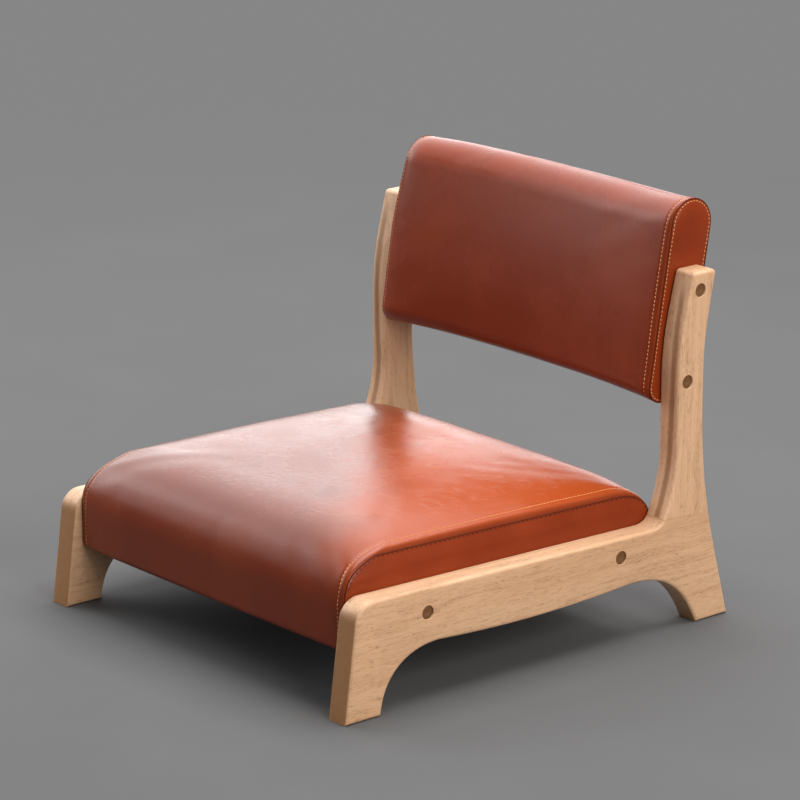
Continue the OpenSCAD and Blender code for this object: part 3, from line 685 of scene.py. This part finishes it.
def oak(name, figure, turn, end_axis=None, streak=None):
    """Clear-finished oak; turn brings the grain onto Z, and end_axis is the way the end grain faces."""
    made, n, shader = material(name)
    coords = n.add("ShaderNodeTexCoord")
    mapping = n.add("ShaderNodeMapping", Vector=coords.outputs["Object"], Rotation=turn)
    wood = placed(n, figure, Along_Grain=mapping.outputs[0])
    colour = n.mix(n.between(wood.outputs["Tone"], 0.3, 0.7), OAK_PALE, OAK)
    colour = n.mix(n.between(wood.outputs["Bands"], 0.45, 0.75, 0.0, 0.38), colour, OAK_DARK)
    colour = n.mix(n.between(wood.outputs["Fibres"], 0.42, 0.72, 0.0, 0.34), colour, OAK_DARK)
    if end_axis:
        facing = n.maths("ABSOLUTE", n.parts(coords.outputs["Normal"])[end_axis])
        colour = n.mix(n.between(facing, 0.75, 0.97, 0.0, 0.85), colour, OAK_END)
    if streak:
        mask = n.maths("MULTIPLY", streak(n, coords.outputs["Object"], wood), 0.85)
        colour = n.mix(mask, colour, OAK_HEART)
    pores = n.maths("MULTIPLY", wood.outputs["Pores"], 0.55)
    colour = n.mix(pores, colour, tuple(0.45 * c for c in OAK_DARK))
    n.put(shader.inputs["Base Color"], colour)
    n.put(shader.inputs["Roughness"], n.between(wood.outputs["Fibres"], 0.3, 0.8, 0.44, 0.56))
    shader.inputs["Specular IOR Level"].default_value = 0.45
    deep = n.maths("SUBTRACT", n.maths("MULTIPLY", wood.outputs["Fibres"], 0.4), wood.outputs["Pores"])
    n.relief(shader, deep, 0.35, 0.0003)
    return made


def heart_streak(n, place, wood):
    """Mask of the brown heartwood that shows on the posts' front edges, near their outer faces."""
    spot = n.parts(place)
    wander = n.maths("MULTIPLY", n.noise(n.stretch(place, (4, 4, 6)), 1.0, 1.0), HEART_WANDER / 1000)
    middle = n.maths("ADD", wander, (CHAIR_W / 2 - HEART_IN - HEART_WANDER / 2) / 1000)
    off = n.maths("ABSOLUTE", n.maths("SUBTRACT", n.maths("ABSOLUTE", spot["X"]), middle))
    ragged = n.maths("MULTIPLY", n.maths("SUBTRACT", wood.outputs["Fibres"], 0.5), 0.006)
    across = n.between(n.maths("ADD", off, ragged), 0.0015, 0.0055, 1.0, 0.0)
    front = row_point(0, POST_FRONT_Y, 0).y
    return n.maths("MULTIPLY", across, n.between(spot["Y"], front + 0.010, front + 0.018, 1.0, 0.0))


# Creases are tinted paler: partly the leather's pull-up, partly a painted highlight along them
CREASE_PULL_UP_AND_SHEEN = (0.62, 0.20, 0.12)


def hide_group():
    """Leather: fine pebbled grain, short shallow creases in two directions, slow waves and a slow tone."""
    group = node_group("hide_surface",
                       [("Place", "NodeSocketVector", None), ("Crease Share", "NodeSocketFloat", 1.0)],
                       [(name, "NodeSocketFloat") for name in ("Creases", "Tone", "Height")])
    n = Nodes(group)
    into = n.add("NodeGroupInput")
    out = n.add("NodeGroupOutput")
    place = into.outputs["Place"]
    cells = n.add("ShaderNodeTexVoronoi", {"feature": "DISTANCE_TO_EDGE"}, Vector=place, Scale=1100.0)
    pebbles = n.between(cells.outputs["Distance"], 0.0, 0.35)

    def creases(turn, scale, low):
        run = n.add("ShaderNodeMapping", Vector=place, Rotation=(0, 0, turn))
        return n.between(n.noise(n.stretch(run.outputs[0], scale), 1.0, 2.0, 0.5, 0.8), low, low + 0.14)

    lines = n.maths("MAXIMUM", creases(-0.25, (70, 380, 380), 0.56), creases(-0.8, (80, 520, 520), 0.57))
    where = n.between(n.noise(place, 22.0, 2.0), 0.38, 0.58)
    lined = n.maths("MULTIPLY", n.maths("MULTIPLY", lines, where), into.outputs["Crease Share"])
    n.put(out.inputs["Creases"], lined)
    n.put(out.inputs["Tone"], n.noise(place, 13.0, 3.0, 0.5))
    waves = n.maths("MULTIPLY", n.noise(place, 30.0, 2.0, 0.5), 0.5)
    height = n.maths("ADD", n.maths("MULTIPLY", pebbles, 0.05), waves)
    n.put(out.inputs["Height"], n.maths("SUBTRACT", height, n.maths("MULTIPLY", lined, 0.2)))
    return group


def leather(name, surface, pale, deep, rough, ior, painted_top_light=None):
    """Semi-gloss aniline leather; for the seat, its top is painted darker as shade and lighter towards its
    rear left as painted light, in the given tone, and only its top gets creases.
    """
    made, n, shader = material(name)
    coords = n.add("ShaderNodeTexCoord")
    place = coords.outputs["Object"]
    upward = n.parts(coords.outputs["Normal"])["Z"] if painted_top_light else None
    hide = placed(n, surface, Place=place, Crease_Share=n.between(upward, 0.9, 0.985) if painted_top_light else 0.0)
    base = n.mix(n.between(hide.outputs["Tone"], 0.3, 0.7), deep, pale)
    if painted_top_light:
        spot = n.parts(place)
        drift = n.maths("ADD", n.maths("MULTIPLY", spot["X"], 0.75), n.maths("MULTIPLY", spot["Y"], 0.65))
        drift = n.maths("ADD", drift, n.maths("MULTIPLY", hide.outputs["Tone"], 0.06))
        # Painted shade and painted light: faces turned up are painted darker, then lighter towards the rear
        # left, for how light falls on the top
        painted_top_mask = n.between(upward, 0.3, 0.9)
        base = n.mix(n.maths("MULTIPLY", painted_top_mask, 0.5), base, tuple(0.3 * c for c in pale))
        base = n.mix(n.maths("MULTIPLY", n.between(drift, -0.03, 0.08), painted_top_mask), base, painted_top_light)
    # Painted highlight along the creases, together with the leather's paler pull-up there
    creased_and_sheen = n.mix(n.maths("MULTIPLY", hide.outputs["Creases"], 0.17), base, CREASE_PULL_UP_AND_SHEEN)
    n.put(shader.inputs["Base Color"], creased_and_sheen)
    n.put(shader.inputs["Roughness"], n.between(hide.outputs["Tone"], 0.25, 0.75, rough - 0.04, rough + 0.06))
    shader.inputs["IOR"].default_value = ior
    n.relief(shader, hide.outputs["Height"], 0.5, 0.0008)
    return made


def plain(name, colour, rough, metallic=0.0, grain=400.0, spread=0.12, gloss=0.5):
    """A finish with a fine mottle in its colour, roughness and height."""
    made, n, shader = material(name)
    mottle = n.noise(n.add("ShaderNodeTexCoord").outputs["Object"], grain, 3.0)
    n.put(shader.inputs["Base Color"], n.mix(mottle, tuple(c * (1 - spread) for c in colour),
                                             tuple(min(1, c * (1 + spread)) for c in colour)))
    n.put(shader.inputs["Roughness"], n.between(mottle, 0.3, 0.7, rough - 0.06, rough + 0.06))
    shader.inputs["Metallic"].default_value = metallic
    shader.inputs["Specular IOR Level"].default_value = gloss
    n.relief(shader, mottle, 0.4, 0.0001)
    return made


FIGURE, HIDE = grain_group(), hide_group()
RAIL_OAK = oak("rail_oak", FIGURE, (math.pi / 2, 0, 0), end_axis="Y")
POST_OAK = oak("post_oak", FIGURE, (0, 0, 0), streak=heart_streak)
# The seat cover's top gets painted shade, and a lighter tone towards its rear left as painted light
COVER_LEATHER = leather("cover_leather", HIDE, (0.24, 0.036, 0.008), (0.205, 0.029, 0.006), 0.25, 1.36,
                        painted_top_light=(0.35, 0.058, 0.011))
BACK_LEATHER = leather("back_leather", HIDE, (0.225, 0.031, 0.005), (0.19, 0.024, 0.004), 0.27, 1.31)
SIDE_LEATHER = leather("side_leather", HIDE, (0.25, 0.034, 0.006), (0.20, 0.026, 0.005), 0.30, 1.33)
THREAD = plain("orange_thread", (0.70, 0.29, 0.11), 0.65, grain=2500, spread=0.3, gloss=0.2)
DARK_THREAD = plain("brown_thread", (0.04, 0.010, 0.005), 0.7, grain=2500, spread=0.3, gloss=0.1)
# A dark cord laid in each seam's groove as painted shade
SEAM_SHADE = plain("seam_shade_cord", (0.09, 0.016, 0.005), 0.8, grain=1500, spread=0.3, gloss=0.1)
BRONZE = plain("antique_bronze", (0.16, 0.068, 0.02), 0.5, grain=700, spread=0.35)
DUST_CLOTH = plain("dust_cloth", (0.02, 0.02, 0.022), 0.85, grain=900, spread=0.4)
FOAM = plain("foam", (0.82, 0.76, 0.60), 0.9, grain=1500, spread=0.08)
BEECH = plain("beech", (0.45, 0.28, 0.16), 0.6, grain=200)
BRASS = plain("insert_brass", (0.62, 0.45, 0.19), 0.35, metallic=1.0, grain=300, spread=0.1)

NODE_FINISH = {"dowels": BEECH, "batten": BEECH, "deck": BEECH, "panel": BEECH, "block": BEECH, "foam": FOAM,
               "dust": DUST_CLOTH, "bolts": BRONZE, "inserts": BRASS}
for node_name, obj in frame["nodes"].items():
    for key, finish in NODE_FINISH.items():
        if key in node_name:
            obj.data.materials.clear()
            obj.data.materials.append(finish)


def finished(obj, finish, nodes=()):
    """Gives a piece its finish and slot, and says which nodes of the part it takes the place of."""
    obj.data.materials.clear()
    obj.data.materials.append(finish)
    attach(obj, "root")
    if nodes:
        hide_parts(*nodes)
    return obj


# The side frames and their bolts

for side, sign in SIDES:
    rail = board(f"{side}_rail_board", rail_outline(), SEAT_BOLTS, sign)
    post = board(f"{side}_post_board", post_outline(), BACK_BOLTS, sign)
    finished(rail, RAIL_OAK, [f"{side}_side_rail"])
    finished(post, POST_OAK, [f"{side}_back_post"])

for side, sign in SIDES:
    for cushion, places in (("seat", SEAT_BOLTS), ("back", BACK_BOLTS)):
        for k, (y, z) in enumerate(places):
            head = turned(f"{cushion}_bolt_{side}_{k}", head_profile(), y, z, sign)
            first = (side, k) == ("left", 0)
            finished(smooth(head, 35), BRONZE, [f"{cushion}_bolts"] if first else [])


# The cushions' folds and covers

# Inset of a cushion's core, where its section ends as a share of the half width, and its number of sections
CORE_IN, CORE_END, CORE_ROWS = 4, 0.97, 51
# Width of the pinned edge along the seams and height of the one along the seat's base
SEWN_W, TUCK_H = 7, 9
# How far from the seams and from the seat's base the skin stays as it is, and over how much more it gets free
SEAM_HOLD, BASE_HOLD, HOLD_FADE = 2, 6, 20
STUFFING_FRAMES, SMOOTHINGS, NEIGHBOURS, SEAT_FOLDS, BACK_FOLDS = 20, 80, 14, 0.13, 0.09
# In metres: the core's voxels and the most that a fold may move the skin
VOXEL, FOLD_CAP = 0.0065, 0.0012


def core(name, section, place):
    """A closed and slightly smaller copy of a cushion, in even voxels, for the cloth to start from."""
    rows = [[place(u * (SIDE_HALF - CORE_IN), p) for p in section(u * CORE_END, CORE_IN)]
            for u in np.linspace(-1, 1, CORE_ROWS)]
    n = len(rows[0])
    ends = [range(first, first + n) for first in (0, (CORE_ROWS - 1) * n)]
    obj = turned_out(sheet_of(name, rows, closed=True), split=True, ends=ends)
    remesh = obj.modifiers.new("voxels", "REMESH")
    remesh.mode, remesh.voxel_size = "VOXEL", VOXEL
    return apply_modifiers(obj)


def stuffed(obj, held):
    """Presses a core's cloth out from inside, pinned where it is held, and returns how its points move."""
    start = np.array([v.co[:] for v in obj.data.vertices])
    pins = obj.vertex_groups.new(name="sewn")
    for i, point in enumerate(start):
        if held(point * 1000):
            pins.add([i], 1.0, "REPLACE")
    cloth = obj.modifiers.new("stuffing", "CLOTH")
    settings = cloth.settings
    settings.quality, settings.mass, settings.air_damping = 6, 0.3, 2.0
    settings.tension_stiffness, settings.compression_stiffness, settings.shear_stiffness = 12, 6, 4
    settings.bending_stiffness = 0.3
    settings.use_pressure, settings.uniform_pressure_force = True, 4.0
    settings.shrink_min = -0.004
    settings.vertex_group_mass = "sewn"
    settings.effector_weights.gravity = 0
    cloth.point_cache.frame_start, cloth.point_cache.frame_end = 1, STUFFING_FRAMES
    for frame_number in range(1, STUFFING_FRAMES + 1):
        bpy.context.scene.frame_set(frame_number)
    done = obj.evaluated_get(bpy.context.evaluated_depsgraph_get()).to_mesh()
    moves = np.array([v.co[:] for v in done.vertices]) - start
    bpy.context.scene.frame_set(1)
    return start, moves


def folds(name, section, place, share, held):
    """A share of a stuffed cushion's folds, without its broad swelling, as places and moves of its skin."""
    obj = core(name, section, place)
    start, moves = stuffed(obj, held)
    edges = np.array([e.vertices[:] for e in obj.data.edges])
    count = np.bincount(edges.ravel(), minlength=len(start))[:, None]
    broad = moves.copy()
    for _ in range(SMOOTHINGS):
        total = np.zeros_like(broad)
        np.add.at(total, edges[:, 0], broad[edges[:, 1]])
        np.add.at(total, edges[:, 1], broad[edges[:, 0]])
        broad = 0.5 * broad + 0.5 * total / count
    moves = share * (moves - broad)
    size = np.linalg.norm(moves, axis=1, keepdims=True)
    bpy.data.objects.remove(obj)
    return start, moves * np.minimum(1, FOLD_CAP / np.maximum(size, 1e-9))


def folded(obj, folded_skin, free):
    """Moves a skin's points with the folds of its simulated copy, by the share that each point is free."""
    start, moves = folded_skin
    tree = KDTree(len(start))
    for i, point in enumerate(start):
        tree.insert(Vector(point), i)
    tree.balance()
    for vertex in obj.data.vertices:
        share = free(vertex.co * 1000)
        if share > 0:
            near = tree.find_n(vertex.co, NEIGHBOURS)
            weights = np.array([(1 - d / near[-1][2]) ** 2 for _, _, d in near])
            move = (moves[[i for _, i, _ in near]] * weights[:, None]).sum(0) / weights.sum()
            vertex.co += Vector(move) * share
    return obj


def sewn(point):
    return abs(point[0]) > SIDE_HALF - SEWN_W


def tucked(point):
    return point[2] < SEAT_BASE + TUCK_H


def off_seam(point):
    """How free the skin is to fold at a distance from the side seams."""
    return ease((SIDE_HALF - abs(point[0]) - SEAM_HOLD) / HOLD_FADE)


def off_base(point):
    """How free the skin is to fold at a height above the seat's base."""
    return ease((point[2] - SEAT_BASE - BASE_HOLD) / HOLD_FADE)


def with_lips(section, depth):
    """The seat's section with the leather's edges folded in under the frame."""
    base = SEAT_BASE + depth
    rear = [[y, base] for y in np.linspace(section[0][0] - LIP_L, section[0][0], 6)[:-1]]
    front = [[y, base] for y in np.linspace(section[-1][0], section[-1][0] + LIP_L, 6)[1:]]
    return [*rear, *section, *front]


def seat_cover():
    """The seat's leather, open along its underside, with its folds."""
    rows = [[seat_place(x, p) for p in with_lips(seat_section(x / SIDE_HALF, depth), depth)]
            for x, depth in cover_stations(SEAT_ROW_IN)]
    inside = row_point(0, 210, 110)
    obj = turned_out(sheet_of("seat_leather", rows, closed=False), outside_of(inside))
    skin = folds("seat_core", seat_section, seat_place, SEAT_FOLDS, lambda p: sewn(p) or tucked(p))
    return folded(obj, skin, lambda p: off_seam(p) * off_base(p))


def back_cover():
    """The backrest's leather, closed all round, with its folds."""
    rows = [[back_place(x, p) for p in back_section(x / SIDE_HALF, depth)]
            for x, depth in cover_stations(BACK_ROW_IN)]
    inside = row_point(0, BACK_Y + 65, 340)
    obj = turned_out(sheet_of("back_leather", rows, closed=True), outside_of(inside))
    return folded(obj, folds("back_core", back_section, back_place, BACK_FOLDS, sewn), off_seam)


def edge_line(section, place, x, u, depth, closed):
    """Places along a cushion's section at u and a depth below its skin, at x across the chair."""
    places = [place(x, p) for p in section(u, depth)]
    return places + places[:1] if closed else places


def sewn_edge(cushion, side, sign, section, place, over, row_in, closed):
    """A dark cord as painted shade in the seam between a cushion's cover and its side panel, and the row of
    stitches beside it.
    """
    seam = edge_line(section, place, sign * (SIDE_HALF - SEAM_IN), 1, SEAM_DEPTH, closed)
    row = edge_line(section, place, sign * (SIDE_HALF - row_in), 1 - row_in / SIDE_HALF, 0, closed)
    # The dark cord stands in for the shade in the seam's groove
    finished(cord(f"{cushion}_seam_{side}", seam, SEAM_R), SEAM_SHADE)
    finished(stitches(f"{cushion}_stitches_{side}", row, over, *ORANGE_STITCH), THREAD)


seat_leather = finished(smooth(seat_cover(), 50), COVER_LEATHER, ["seat_cover", "seat_foam"])
back_leather = finished(smooth(back_cover(), 50), BACK_LEATHER,
                        ["back_cover", "back_foam_front", "back_foam_rear", "back_block_right"])
for side, sign in SIDES:
    seat_side = smooth(side_panel(f"seat_side_{side}", seat_section, seat_place, sign, seat_bulge), 50)
    finished(seat_side, SIDE_LEATHER, [f"seat_gusset_{side}"])
    back_side = side_panel(f"back_side_{side}", back_section, back_place, sign, back_bulge, PANEL_ROW_IN)
    finished(smooth(back_side, 50), SIDE_LEATHER, [f"back_gusset_{side}"])
    sewn_edge("seat", side, sign, seat_section, seat_place, seat_leather, SEAT_ROW_IN, False)
    sewn_edge("back", side, sign, back_section, back_place, back_leather, BACK_ROW_IN, True)
    drop = [seat_place(sign * SIDE_HALF, p) for p in seat_section(1, SEAM_STITCH_IN) if p[1] > RAIL_FRONT_H]
    dark = stitches(f"seat_seam_stitches_{side}", drop, seat_side, *DARK_STITCH)
    finished(dark, DARK_THREAD)
    edge = edge_line(back_section, back_place, sign * SIDE_HALF, 1, PANEL_ROW_IN, True)
    row = stitches(f"back_side_stitches_{side}", edge, back_side, *ORANGE_STITCH)
    finished(row, THREAD)


# Floor, lights and camera

BACKDROP, FILL_LIGHT = 0.24, 0.23
FLOOR_PALE, FLOOR_DEEP, FLOOR_HALF = (0.13, 0.13, 0.132), (0.115, 0.115, 0.117), 20.0


def seen(n):
    """1 for rays that show the surroundings: straight to the camera, mirrored or through glass."""
    path = n.add("ShaderNodeLightPath")
    mirrored = n.maths("MAXIMUM", path.outputs["Is Glossy Ray"], path.outputs["Is Transmission Ray"])
    return n.maths("MAXIMUM", path.outputs["Is Camera Ray"], mirrored)


def floor_paint():
    """Matte grey paint that turns into the even backdrop away from the chair."""
    made, n, shader = material("floor_paint")
    place = n.add("ShaderNodeTexCoord").outputs["Object"]
    n.put(shader.inputs["Base Color"], n.mix(n.noise(place, 6.0, 3.0), FLOOR_DEEP, FLOOR_PALE))
    shader.inputs["Roughness"].default_value = 0.9
    shader.inputs["Specular IOR Level"].default_value = 0.0
    length = n.add("ShaderNodeVectorMath", {"operation": "LENGTH"})
    n.put(length.inputs[0], place)
    far = n.maths("MULTIPLY", n.between(length.outputs["Value"], 0.9, 2.6), seen(n))
    backdrop = n.add("ShaderNodeEmission", Color=(1, 1, 1, 1), Strength=BACKDROP)
    blend = n.add("ShaderNodeMixShader", Fac=far)
    n.put(blend.inputs[1], shader.outputs[0])
    n.put(blend.inputs[2], backdrop.outputs[0])
    out = next(node for node in made.node_tree.nodes if node.type == "OUTPUT_MATERIAL")
    n.put(out.inputs["Surface"], blend.outputs[0])
    return made


def floor():
    ways = (-FLOOR_HALF, 0, FLOOR_HALF)
    obj = sheet_of("studio_floor", [[(x, y, 0) for x in ways] for y in ways], closed=False)
    obj.location.z = -0.0003
    obj.data.materials.append(floor_paint())


def lamp(name, place, target, size_x, size_y, power, colour=(1, 1, 1)):
    """A rectangular lamp at a place, turned to a target, with its power in watts."""
    light = bpy.data.lights.new(name, "AREA")
    light.shape, light.size, light.size_y = "RECTANGLE", size_x, size_y
    light.energy, light.color = power, colour
    place, target = Vector(place), Vector(target)
    turn = (target - place).to_track_quat("-Z", "Y").to_matrix().to_4x4()
    new_object(name, light).matrix_world = Matrix.Translation(place) @ turn


def world():
    made = bpy.data.worlds.new("studio_world")
    bpy.context.scene.world = made
    made.use_nodes = True
    made.node_tree.nodes.clear()
    n = Nodes(made.node_tree)
    background = n.add("ShaderNodeBackground", Color=(1, 1, 1, 1),
                       Strength=n.between(seen(n), 0, 1, FILL_LIGHT, BACKDROP))
    n.add("ShaderNodeOutputWorld", Surface=background.outputs[0])


def set_camera():
    """The camera looks at the chair from the sitter's front left and a little above."""
    camera = bpy.data.cameras.new("camera")
    camera.lens, camera.sensor_width, camera.clip_start, camera.clip_end = 181.56, 36, 0.1, 50
    eye = new_object("camera", camera)
    right, up, back = (0.6467, 0.7627, 0), (-0.2145, 0.1819, 0.9596), (0.73202, -0.62061, 0.28120)
    turn = Matrix([right, up, back]).transposed().to_4x4()
    eye.matrix_world = Matrix.Translation(row_point(3024.1, -2292.6, 1382.1)) @ turn
    bpy.context.scene.camera = eye


floor()
world()
lamp("key", (2.7, -0.2, 1.3), (0, 0, 0.2), 1.8, 1.6, 63, (1.0, 0.95, 0.88))
lamp("top", (0.1, 0.6, 2.5), (0, 0, 0.1), 2.2, 2.0, 90)
lamp("window", (-2.96, 0.5, 2.05), (0, 0, 0.15), 5.2, 3.3, 156)
lamp("low_window", (-1.9, 2.6, 0.45), (0, 0, 0.15), 3.0, 0.6, 13)
lamp("left", (-1.7, -0.9, 0.85), (-0.1, 0, 0.2), 1.5, 1.0, 8.5)
set_camera()
bpy.context.scene.view_settings.view_transform = "Standard"
